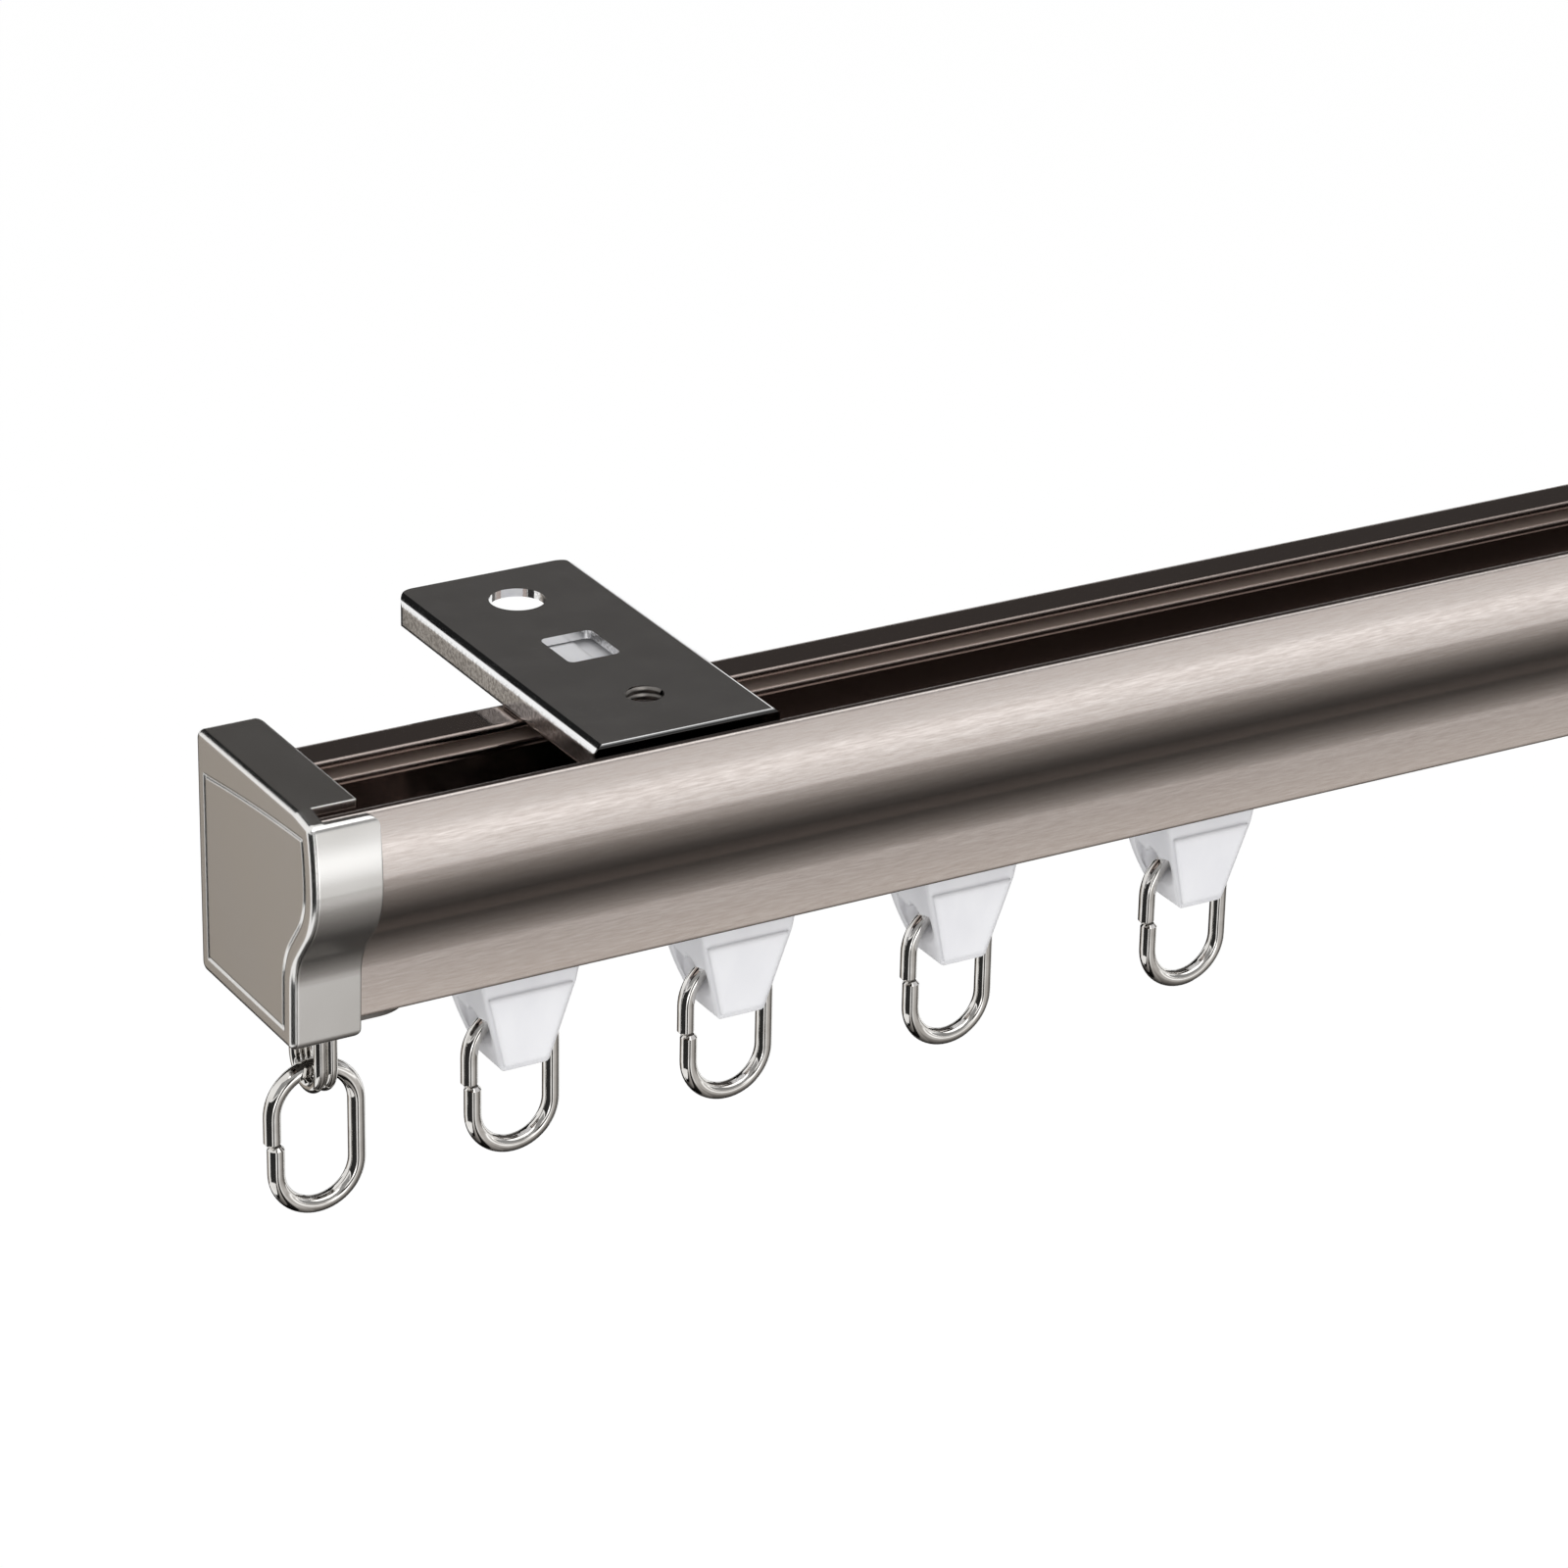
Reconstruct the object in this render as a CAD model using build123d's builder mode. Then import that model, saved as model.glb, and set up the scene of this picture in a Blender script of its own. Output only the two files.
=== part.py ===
from build123d import *
import os
from math import asin, cos, degrees, radians, sqrt

# A short ceiling curtain track: an extruded rail with moulded end caps, two click-in
# ceiling brackets, four wheeled runners and two fixed end eyes, each with its ring.
# Millimetres, +Z up. X runs along the track, and the room is towards -Y. The origin
# lies on the ceiling, midway between the two ceiling screws.

# Overall sizes
track_length = 600.0
rail_height = 27.0
rail_depth = 25.6
wall = 1.2
ceiling_gap = 0.6
screw_depth = 43.6
bracket_inset = 48.0

# The rail's front wall: a crown, a belly, a slope and a hollow above a straight foot
crown_drop = 8.0
crown_bulge = 0.85
belly_radius = 9.0
belly_turn = 38.0
slope_length = 3.4
hollow_radius = 8.3
foot_lean = 2.0

# Inside the rail
lip_top = -3.45
lip_front = 20.8
lip_thickness = 1.0
ledge_top = -6.0
ledge_front = 21.2
bead_reach = 2.2
web_top = -12.6
slot_depth = 15.5
slot_width = 5.0
soft_edge = 0.3

# End caps
side_thickness = 2.0
cap_wall = 1.2
cap_gap = 0.1
cap_overhang = 1.9
cap_back_gap = 0.3
back_wall = 1.7
back_wall_length = 5.2
wrap_length = 8.3
tongue_front = 2.4
tongue_length = 7.3
tongue_thickness = 1.0
tongue_corner = 2.2
side_edge = 0.8
cap_edge = 1.0
panel_rim = 1.9
groove_width = 0.5
groove_depth = 0.22
panel_front_top = -1.7
panel_back_top = -4.2
panel_bulge = 0.3
plug_length = 4.5
plug_height = 4.6

# Fixed end stops
plate_start = 3.5
plate_length = 13.5
plate_width = 17.0
plate_thickness = 1.5
plate_corner = 5.0
seat_gap = 0.05
eye_inset = 7.9
strand_radius = 0.72
strand_spacing = 1.36
eye_inner_radius = 2.5
eye_length = 9.5
stop_screw_inset = 13.6
stop_screw_radius = 1.5
stop_head_radius = 3.0
stop_head_height = 1.8
block_height = 6.3
block_width = 12.0
block_chamfer = 1.5
thread_gap = 0.05

# Rings
wire_radius = 1.0
ring_radius = 5.2
ring_height = 19.5
ring_seam = 0.2
seam_chamfer = 0.35
seam_step = 0.4
ring_gap = 0.2
end_ring_slack = 0.4
ring_swing = 45.0
wire_arc = 120.0

# Runners
runner_insets = (32.5, 60.5, 90.5, 124.0)
body_half_top = 6.7
body_half_shoulder = 5.8
body_half_foot = 3.0
body_gap = 0.4
shoulder_height = 4.2
body_height = 14.4
hole_height = 8.6
body_front = 10.5
body_back = 20.9
foot_front = 11.8
foot_back = 17.0
back_shoulder_height = 8.1
body_edge = 0.6
shoulder_bend = 2.4
pad_inset = 0.5
pad_thickness = 0.45
pad_height = 9.6
pad_edge = 0.3
neck_half = 4.5
neck_gap = 0.3
neck_wheel_step = 0.05
neck_corner = 3.5
axle_radius = 1.0
axle_fit = 0.02
axle_head_radius = 1.6
axle_head = 0.5
wheel_radius = 3.9
wheel_width = 3.0
wheel_gap = 0.3
wheel_lift = 0.15
wheel_running_fit = 0.06
wheel_edge = 0.4
wheel_dish = 0.6
bore_gap = 0.25
mouth_radius = 3.8

# Ceiling brackets
bracket_width = 23.4
bracket_front = 2.6
bracket_back = 52.2
sheet = 1.0
flange_height = 4.0
front_bend = 0.5
side_bend = 1.3
flange_foot = 0.8
back_corner = 2.5
return_lip = 1.5
hook_bottom = -8.3
hook_toe = 1.0
screw_hole_radius = 3.3
window_width = 6.6
window_length = 7.6
window_depth = 28.1
window_corner = 0.8
small_hole_radius = 2.25
small_hole_depth = 12.9
small_hole_collar = 1.0
small_hole_collar_height = 0.6

# The brackets' locking sliders
slider_gap = 0.3
slider_front = 17.8
slider_back = 41.0
slider_top_gap = 0.15
slider_recess = 0.7
slider_thickness = 0.9
claw_half_width = 7.0
claw_thickness = 2.4
claw_reach = 2.0
claw_gap = 0.25
tab_half_width = 8.0
tab_front = 29.6
tab_back = 38.1
tab_bottom = -6.3
tower_width = 4.2
tower_offset = -1.0
slider_edge = 0.5

half_length = track_length / 2
rail_half = half_length - side_thickness
front_y = -screw_depth
rail_top = -ceiling_gap
floor_top = -rail_height + wall
axle_height = floor_top + wheel_lift + wheel_radius
neck_top = axle_height + wheel_radius - neck_wheel_step
body_top = -rail_height - body_gap
shoulder = body_top - shoulder_height
body_foot = body_top - body_height
back_shoulder = body_top - back_shoulder_height
runner_ring_drop = hole_height - body_top
eye_drop = rail_height + eye_length
end_ring_drop = eye_drop + eye_inner_radius - wire_radius - end_ring_slack
cap_drop = rail_height + cap_overhang
cap_depth = rail_depth + cap_back_gap + back_wall
bracket_x = half_length - bracket_inset


def section(x):
    """Plane across the track at x, drawn as depth from the front edge and height."""
    return Plane(origin=(x, front_y, rail_top), x_dir=(0, 1, 0), z_dir=(1, 0, 0))


def elevation(x, depth):
    """Plane that faces the room at a depth, drawn as distance from x and height."""
    return Plane(origin=(x, front_y + depth, rail_top), x_dir=(1, 0, 0), z_dir=(0, -1, 0))


def plan(x, height):
    """Level plane at a height, drawn as distance from x and depth."""
    return Plane(origin=(x, front_y, rail_top + height), x_dir=(1, 0, 0), z_dir=(0, 0, 1))


def ogee(out, top=0.0, foot=-rail_height):
    """Draw the front wall's outline, moved out by a distance, and return its ends."""
    crown_radius = (crown_drop**2 + crown_bulge**2) / (2 * crown_bulge) + out
    crown = (-crown_bulge - out, -crown_drop)
    rise = degrees(asin((top + crown_drop) / crown_radius))
    upper = JernArc(crown, (0, 1), crown_radius, -rise)
    belly = JernArc(crown, (0, -1), belly_radius + out, belly_turn)
    slope = Line(belly @ 1, belly @ 1 + (belly % 1) * slope_length)
    hollow = JernArc(slope @ 1, slope % 1, hollow_radius - out, foot_lean - belly_turn)
    foot_length = ((hollow @ 1).Y - foot) / cos(radians(foot_lean))
    straight = Line(hollow @ 1, hollow @ 1 + (hollow % 1) * foot_length)
    return upper @ 1, straight @ 1


def at_depth(points, depth):
    """Keep the sketch points that lie at one depth."""
    return points.filter_by_position(Axis.X, depth - 0.01, depth + 0.01)


def at_height(points, height):
    """Keep the sketch points that lie at one height."""
    return points.filter_by_position(Axis.Y, height - 0.01, height + 0.01)


os.makedirs("parts", exist_ok=True)


def write(solid, name):
    """Label a finished piece and write it."""
    solid.label = name
    export_step(solid, f"parts/{name}.step")


# Rail: the outer outline less the upper channel, the runner channel and the slot
with BuildSketch() as hollows:
    with BuildLine():
        top, foot = ogee(-wall, top=wall)
        Polyline(foot, (rail_depth - wall, -rail_height), (rail_depth - wall, wall), top)
    make_face()
    with Locations((rail_depth / 2, web_top - wall / 2), (rail_depth / 2, floor_top - wall / 2)):
        Rectangle(2 * rail_depth, wall, mode=Mode.SUBTRACT)

with BuildPart() as rail:
    with BuildSketch(section(-rail_half)):
        with BuildLine():
            top, foot = ogee(0)
            Polyline(foot, (rail_depth, -rail_height), (rail_depth, lip_top),
                     (rail_depth - wall, lip_top), (rail_depth - wall, 0), top)
        make_face()
        add(hollows.sketch_local, mode=Mode.SUBTRACT)
        with Locations((slot_depth, floor_top)):
            Rectangle(slot_width, 4 * wall, mode=Mode.SUBTRACT)
        corner = (Align.MAX, Align.MAX)
        with Locations((rail_depth, lip_top)):
            Rectangle(rail_depth - lip_front, lip_thickness, align=corner)
        with Locations((rail_depth - wall / 2, ledge_top)):
            Rectangle(rail_depth - wall / 2 - ledge_front, lip_thickness, align=corner)
        with Locations((bead_reach, ledge_top)):
            Rectangle(bead_reach, lip_thickness, align=corner)
        tips = at_depth(vertices(), lip_front) + at_depth(vertices(), ledge_front)
        tips += at_depth(vertices(), bead_reach) + at_height(vertices(), 0)
        slot_edges = [slot_depth - slot_width / 2, slot_depth + slot_width / 2]
        for edge in slot_edges:
            tips += at_depth(vertices(), edge)
        fillet(tips, soft_edge)
    extrude(amount=2 * rail_half)
write(rail.part, "rail")


# End caps: a side plate with a grooved panel, a wrap over the front wall, a tongue
# over the upper channel, a back wall and a plug
with BuildSketch(section(-half_length)) as cap_outline:
    with BuildLine():
        top, foot = ogee(cap_wall, foot=-cap_drop)
        Polyline(foot, (cap_depth, -cap_drop), (cap_depth, ceiling_gap),
                 (tongue_front, ceiling_gap), top)
    make_face()
    fillet(at_depth(vertices(), cap_depth), cap_wall)
    fillet([vertices().sort_by_distance(end)[0] for end in (top, foot)], cap_edge)

with BuildPart() as left_end_cap:
    extrude(cap_outline.sketch, amount=side_thickness)
    fillet(faces().sort_by(Axis.X)[0].edges(), side_edge)
    with BuildSketch(section(-half_length)):
        with BuildLine():
            top, foot = ogee(cap_wall - panel_rim, top=panel_front_top, foot=panel_rim - cap_drop)
            panel_back = cap_depth - panel_rim
            Polyline(foot, (panel_back, panel_rim - cap_drop), (panel_back, panel_back_top))
            middle = (panel_back / 2, (panel_front_top + panel_back_top) / 2 + panel_bulge)
            ThreePointArc((panel_back, panel_back_top), middle, top)
        make_face()
        offset(amount=-groove_width, kind=Kind.INTERSECTION, mode=Mode.SUBTRACT)
    extrude(amount=groove_depth, taper=45, mode=Mode.SUBTRACT)
    with BuildSketch(section(-rail_half)):
        with BuildLine():
            top, foot = ogee(cap_wall, foot=-cap_drop)
            inner_top, inner_foot = ogee(cap_gap, foot=-cap_drop)
            Line(top, inner_top)
            Line(foot, inner_foot)
        make_face()
    extrude(amount=wrap_length - side_thickness)
    fillet(edges().filter_by(Axis.Y).sort_by(Axis.X)[-2:], cap_wall)
    with BuildSketch(plan(-rail_half, ceiling_gap)):
        with Locations((0, tongue_front)):
            Rectangle(tongue_length - side_thickness, cap_depth - tongue_front, align=Align.MIN)
        fillet(vertices().sort_by(Axis.X)[-2:].sort_by(Axis.Y)[-1], tongue_corner)
    extrude(amount=-tongue_thickness)
    with BuildSketch(plan(-rail_half, ceiling_gap - tongue_thickness)):
        with Locations((0, cap_depth)):
            Rectangle(back_wall_length - side_thickness, back_wall, align=(Align.MIN, Align.MAX))
    extrude(amount=-cap_drop - ceiling_gap + tongue_thickness)
    with BuildSketch(plan(-rail_half, web_top + cap_gap)):
        with Locations((0, bead_reach + cap_wall)):
            Rectangle(plug_length, lip_front - bead_reach - cap_wall, align=Align.MIN)
    extrude(amount=plug_height)
    extrude(cap_outline.sketch, amount=wrap_length, mode=Mode.INTERSECT)
write(left_end_cap.part, "left_end_cap")

with BuildPart() as right_end_cap:
    mirror(left_end_cap.part, about=Plane.YZ)
write(right_end_cap.part, "right_end_cap")


# Fixed end stops: a block in the runner channel, drawn against a plate under the lips
# by one screw, with an eye of doubled wire whose legs are riveted into the plate
plate_top = -rail_height - seat_gap
eye_x = -half_length + eye_inset
stop_screw_x = -half_length + stop_screw_inset
eye_width = strand_spacing + 2 * strand_radius
eye_thickness = 2 * strand_radius
eye_bend = eye_inner_radius + strand_radius

with BuildPart() as left_clamp_plate:
    with BuildSketch(plan(-half_length + plate_start, plate_top)):
        with Locations((0, slot_depth)):
            Rectangle(plate_length, plate_width, align=(Align.MIN, Align.CENTER))
        fillet(vertices().sort_by(Axis.X)[-2:], plate_corner)
        with Locations((eye_inset - plate_start, slot_depth)):
            with GridLocations(0, 2 * eye_inner_radius + eye_thickness, 1, 2):
                Rectangle(eye_width + 2 * seat_gap, eye_thickness + 2 * seat_gap, mode=Mode.SUBTRACT)
        with Locations((stop_screw_inset - plate_start, slot_depth)):
            Circle(stop_screw_radius + thread_gap, mode=Mode.SUBTRACT)
    extrude(amount=-plate_thickness)

with BuildPart() as left_stop_eye:
    with BuildLine(section(eye_x)) as eye_route:
        front_leg, back_leg = slot_depth - eye_bend, slot_depth + eye_bend
        Line((front_leg, plate_top), (front_leg, -eye_drop))
        ThreePointArc((front_leg, -eye_drop), (slot_depth, -eye_drop - eye_bend),
                      (back_leg, -eye_drop))
        Line((back_leg, -eye_drop), (back_leg, plate_top))
    eye_wire = eye_route.wires()[0]
    with BuildSketch(Plane(eye_wire @ 0, x_dir=(1, 0, 0), z_dir=eye_wire % 0)):
        with GridLocations(strand_spacing, 0, 2, 1):
            Circle(strand_radius)
    sweep(path=eye_wire)

with BuildPart() as left_stop_block:
    with BuildSketch(plan(-half_length + plate_start, floor_top + seat_gap)):
        with Locations((0, slot_depth)):
            Rectangle(plate_length + plate_start, block_width, align=(Align.MIN, Align.CENTER))
    extrude(amount=block_height)
    chamfer(faces().sort_by(Axis.Z)[-1].edges().sort_by(Axis.X)[-1], block_chamfer)
    with BuildSketch(plan(-half_length + plate_start, floor_top + seat_gap)):
        with Locations((0, slot_depth)):
            Rectangle(plate_length, slot_width - 2 * seat_gap, align=(Align.MIN, Align.CENTER))
    extrude(amount=-wall - seat_gap)
    with BuildSketch(plan(stop_screw_x, plate_top)):
        with Locations((0, slot_depth)):
            Circle(stop_screw_radius + thread_gap)
    extrude(amount=block_height, mode=Mode.SUBTRACT)

with BuildPart() as left_stop_screw:
    with BuildSketch(plan(stop_screw_x, plate_top - plate_thickness)):
        with Locations((0, slot_depth)):
            Circle(stop_head_radius)
    extrude(amount=-stop_head_height)
    fillet(edges().sort_by(Axis.Z)[0], stop_head_height / 2)
    with BuildSketch(plan(stop_screw_x, plate_top - plate_thickness)):
        with Locations((0, slot_depth)):
            Circle(stop_screw_radius)
    extrude(amount=plate_thickness + block_height - thread_gap)


def ring(x, drop):
    """A ring of bent wire that hangs at x. Its chamfered ends meet halfway down one leg,
    the lower one a little further in."""
    leg = ring_height - 2 * wire_radius - 2 * ring_radius
    upper, lower = -drop - ring_radius, -drop - ring_radius - leg
    seam = (upper + lower) / 2
    lower_end = -ring_radius + seam_step
    with BuildPart() as bent_ring:
        with BuildLine(elevation(x, slot_depth)) as route:
            Line((-ring_radius, seam + ring_seam / 2), (-ring_radius, upper))
            ThreePointArc((-ring_radius, upper), (0, -drop), (ring_radius, upper))
            Line((ring_radius, upper), (ring_radius, lower))
            ThreePointArc((ring_radius, lower), (seam_step / 2, lower - ring_radius + seam_step / 2),
                          (lower_end, lower))
            Line((lower_end, lower), (lower_end, seam - ring_seam / 2))
        wire = route.wires()[0]
        with BuildSketch(Plane(wire @ 0, z_dir=wire % 0)):
            Circle(wire_radius)
        sweep(path=wire)
        chamfer(faces().filter_by(GeomType.PLANE).edges(), seam_chamfer)
    return bent_ring.part


left_stop = {
    "clamp_plate": left_clamp_plate.part,
    "stop_eye": left_stop_eye.part,
    "stop_block": left_stop_block.part,
    "stop_screw": left_stop_screw.part,
    "end_ring": ring(eye_x, end_ring_drop),
}
for name, solid in left_stop.items():
    write(solid, f"left_{name}")
    with BuildPart() as right_piece:
        mirror(solid, about=Plane.YZ)
    write(right_piece.part, f"right_{name}")


def runner_body(x):
    """The moulded carrier: a tapered body, a pad on its face, and a neck up to the axle."""
    with BuildPart() as body:
        with BuildSketch(elevation(x, body_back)):
            with BuildLine():
                Polyline((0, body_top), (body_half_top, body_top), (body_half_shoulder, shoulder),
                         (body_half_foot, body_foot), (0, body_foot))
                mirror(about=Plane.YZ)
            make_face()
            fillet(at_height(vertices(), shoulder), shoulder_bend)
            fillet(at_height(vertices(), body_foot), body_edge)
        extrude(amount=body_back - body_front)
        with BuildSketch(section(x - body_half_top)):
            with BuildLine():
                Polyline((body_back, body_top), (body_front, body_top), (body_front, shoulder),
                         (foot_front, body_foot), (foot_back, body_foot))
                RadiusArc((foot_back, body_foot), (body_back, back_shoulder), -2 * neck_half)
                Line((body_back, back_shoulder), (body_back, body_top))
            make_face()
        extrude(amount=2 * body_half_top, mode=Mode.INTERSECT)
        lean = Plane(
            origin=(x, front_y + body_front, rail_top + shoulder),
            x_dir=(1, 0, 0),
            z_dir=(0, body_foot - shoulder, body_front - foot_front),
        )
        with BuildSketch(lean):
            with BuildLine():
                Polyline((0, 0), (body_half_shoulder - pad_inset, 0),
                         (body_half_foot - pad_inset / 2, -pad_height), (0, -pad_height))
                mirror(about=Plane.YZ)
            make_face()
            fillet(vertices().filter_by_position(Axis.X, -0.01, 0.01, (False, False)), body_edge)
        extrude(amount=pad_thickness)
        fillet(faces(Select.LAST).sort_by(SortBy.AREA)[-1].edges(), pad_edge)
        with BuildSketch(elevation(x, slot_depth + slot_width / 2 - neck_gap)):
            with Locations((0, body_top - wall)):
                Rectangle(2 * neck_half, neck_top - body_top + wall, align=(Align.CENTER, Align.MIN))
            fillet(at_height(vertices(), neck_top), neck_corner)
            with Locations((0, axle_height)):
                Circle(axle_radius + axle_fit, mode=Mode.SUBTRACT)
        extrude(amount=slot_width - 2 * neck_gap)
        # The ring's hole is a plain bore above and follows the ring's inner bend below
        with BuildSketch(section(x - body_half_top)):
            with Locations((slot_depth, -runner_ring_drop)):
                Circle(wire_radius + bore_gap)
        extrude(amount=2 * body_half_top, mode=Mode.SUBTRACT)
        axis_point = (x, front_y + slot_depth, rail_top - runner_ring_drop)
        bend = ring_radius - wire_radius - ring_gap
        mouth_x = sqrt(bend**2 - (ring_radius - mouth_radius) ** 2)
        sweep_arc = 2 * ring_swing + wire_arc
        start = Plane(origin=axis_point, x_dir=(1, 0, 0), z_dir=(0, -1, 0))
        with BuildSketch(start.rotated((-sweep_arc / 2, 0, 0))):
            with BuildLine():
                Polyline((-mouth_x, -mouth_radius), (-body_half_top, -mouth_radius), (-body_half_top, 0),
                         (body_half_top, 0), (body_half_top, -mouth_radius), (mouth_x, -mouth_radius))
                ThreePointArc((-mouth_x, -mouth_radius), (0, bend - ring_radius), (mouth_x, -mouth_radius))
            make_face()
        revolve(axis=Axis(axis_point, (1, 0, 0)), revolution_arc=sweep_arc, mode=Mode.SUBTRACT)
    return body.part


def runner_axle(x):
    """A headed pin through the neck, along the track's depth."""
    length = slot_width - 2 * neck_gap + 2 * (wheel_gap + wheel_width + wheel_gap)
    with BuildPart() as axle:
        with BuildSketch(elevation(x, slot_depth)):
            with Locations((0, axle_height)):
                Circle(axle_radius)
        extrude(amount=length / 2, both=True)
        for side in (-1, 1):
            with BuildSketch(elevation(x, slot_depth + side * length / 2)):
                with Locations((0, axle_height)):
                    Circle(axle_head_radius)
            extrude(amount=-side * axle_head)
    return axle.part


def runner_wheel(x, side):
    """One wheel, in front of the neck or behind it."""
    inner = slot_depth + side * (slot_width / 2 - neck_gap + wheel_gap)
    with BuildPart() as wheel:
        with BuildSketch(elevation(x, inner)):
            with Locations((0, axle_height)):
                Circle(wheel_radius)
        extrude(amount=-side * wheel_width)
        fillet(edges(), wheel_edge)
        with BuildSketch(elevation(x, inner + side * wheel_width)):
            with Locations((0, axle_height)):
                Circle(wheel_radius - 2 * wheel_dish)
                Circle(axle_head_radius + wheel_dish, mode=Mode.SUBTRACT)
        extrude(amount=side * wheel_dish, mode=Mode.SUBTRACT)
        with BuildSketch(elevation(x, inner)):
            with Locations((0, axle_height)):
                Circle(axle_radius + wheel_running_fit)
        extrude(amount=-side * wheel_width, mode=Mode.SUBTRACT)
    return wheel.part


# Runners, numbered from the left
for number, inset in enumerate(runner_insets, start=1):
    runner_x = -half_length + inset
    write(runner_body(runner_x), f"runner_{number}_body")
    write(ring(runner_x, runner_ring_drop), f"runner_{number}_ring")
    write(runner_axle(runner_x), f"runner_{number}_axle")
    write(runner_wheel(runner_x, -1), f"runner_{number}_front_wheel")
    write(runner_wheel(runner_x, 1), f"runner_{number}_back_wheel")


def bracket_plate(x):
    """The sheet bracket: a channel whose front end turns down to a hook under the bead."""
    under = ceiling_gap - sheet
    flange_bottom = ceiling_gap - flange_height
    inner_half = bracket_width / 2 - sheet
    length = bracket_back - bracket_front
    with BuildPart() as bracket:
        with BuildSketch(elevation(x, bracket_back)):
            with Locations((0, ceiling_gap)):
                Rectangle(bracket_width, flange_height, align=(Align.CENTER, Align.MAX))
            fillet(at_height(vertices(), ceiling_gap), side_bend)
            fillet(at_height(vertices(), flange_bottom), flange_foot)
            with Locations((0, under)):
                Rectangle(2 * inner_half, flange_height - 2 * sheet, align=(Align.CENTER, Align.MAX),
                          mode=Mode.SUBTRACT)
            with Locations((0, flange_bottom)):
                Rectangle(2 * (inner_half - return_lip), 2 * sheet, align=(Align.CENTER, Align.MIN),
                          mode=Mode.SUBTRACT)
        extrude(amount=length - sheet)
        with BuildSketch(section(x - bracket_width / 2)):
            with Locations((bracket_front, ceiling_gap)):
                Rectangle(2 * sheet, ceiling_gap - hook_bottom, align=(Align.MIN, Align.MAX))
            fillet(vertices().group_by(Axis.Y)[-1].sort_by(Axis.X)[0], front_bend)
            with Locations((bracket_front + sheet, under)):
                Rectangle(2 * sheet, under - hook_bottom, align=(Align.MIN, Align.MAX),
                          mode=Mode.SUBTRACT)
            with Locations((bracket_front + sheet, hook_bottom)):
                Rectangle(bracket_front + sheet - hook_toe, sheet, align=(Align.MAX, Align.MIN))
        extrude(amount=bracket_width)
        with BuildSketch(elevation(x, bracket_back)):
            with Locations((0, ceiling_gap)):
                Rectangle(bracket_width, ceiling_gap - hook_bottom, align=(Align.CENTER, Align.MAX))
            fillet(at_height(vertices(), ceiling_gap), side_bend)
        extrude(amount=bracket_back - hook_toe, mode=Mode.INTERSECT)
        with BuildSketch(plan(x, ceiling_gap)):
            with Locations((0, (hook_toe + bracket_back) / 2)):
                RectangleRounded(bracket_width, bracket_back - hook_toe, back_corner)
        extrude(amount=hook_bottom - ceiling_gap, mode=Mode.INTERSECT)
        with BuildSketch(plan(x, under)):
            with Locations((0, small_hole_depth)):
                Circle(small_hole_radius + small_hole_collar)
        extrude(amount=-small_hole_collar_height)
        with BuildSketch(plan(x, ceiling_gap)):
            with Locations((0, screw_depth)):
                Circle(screw_hole_radius)
            with Locations((0, small_hole_depth)):
                Circle(small_hole_radius)
            with Locations((0, window_depth)):
                RectangleRounded(window_width, window_length, window_corner)
        extrude(amount=-sheet - small_hole_collar_height, mode=Mode.SUBTRACT)
    return bracket.part


def bracket_slider(x, side):
    """The locking slider: a plate in the channel with a claw under the rail's back lip
    and a finger tab behind the rail."""
    top = ceiling_gap - sheet - slider_top_gap
    half_width = bracket_width / 2 - sheet - slider_gap
    claw_top = lip_top - lip_thickness - claw_gap
    claw_bottom = ledge_top + claw_gap
    with BuildPart() as slider:
        with BuildSketch(plan(x, top - slider_recess)):
            with Locations((0, slider_front)):
                Rectangle(2 * half_width, slider_back - slider_front, align=(Align.CENTER, Align.MIN))
            fillet(vertices(), slider_edge)
        extrude(amount=-slider_thickness)
        with BuildSketch(plan(x, top)):
            with Locations((side * tower_offset, window_depth)):
                Rectangle(tower_width, window_length)
        extrude(amount=-slider_recess - slider_thickness)
        with BuildSketch(section(x - claw_half_width)):
            nose = lip_front + claw_reach
            with BuildLine():
                Polyline((slider_front, top - slider_recess), (slider_front, claw_bottom),
                         (nose - claw_gap, claw_bottom), (nose, claw_top),
                         (slider_front + claw_thickness, claw_top),
                         (slider_front + claw_thickness, top - slider_recess),
                         (slider_front, top - slider_recess))
            make_face()
        extrude(amount=2 * claw_half_width)
        with BuildSketch(plan(x, top - slider_recess)):
            with Locations((0, tab_front)):
                Rectangle(2 * tab_half_width, tab_back - tab_front, align=(Align.CENTER, Align.MIN))
            fillet(vertices(), slider_edge)
        extrude(amount=tab_bottom - top + slider_recess)
        fillet(faces().sort_by(Axis.Z)[0].edges(), slider_edge / 2)
    return slider.part


# Brackets: the slider's tower lies off centre, mirrored from one end to the other
for name, side in (("left", -1), ("right", 1)):
    write(bracket_plate(side * bracket_x), f"{name}_bracket_plate")
    write(bracket_slider(side * bracket_x, -side), f"{name}_bracket_slider")
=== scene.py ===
"""Looks for the ceiling curtain track: its finishes, the brackets' threads and the studio."""

from __future__ import annotations

import logging
import math
from dataclasses import dataclass, field
from enum import Enum
from functools import cached_property

import bpy
import numpy as np
from mathutils import Matrix, Vector


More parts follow.
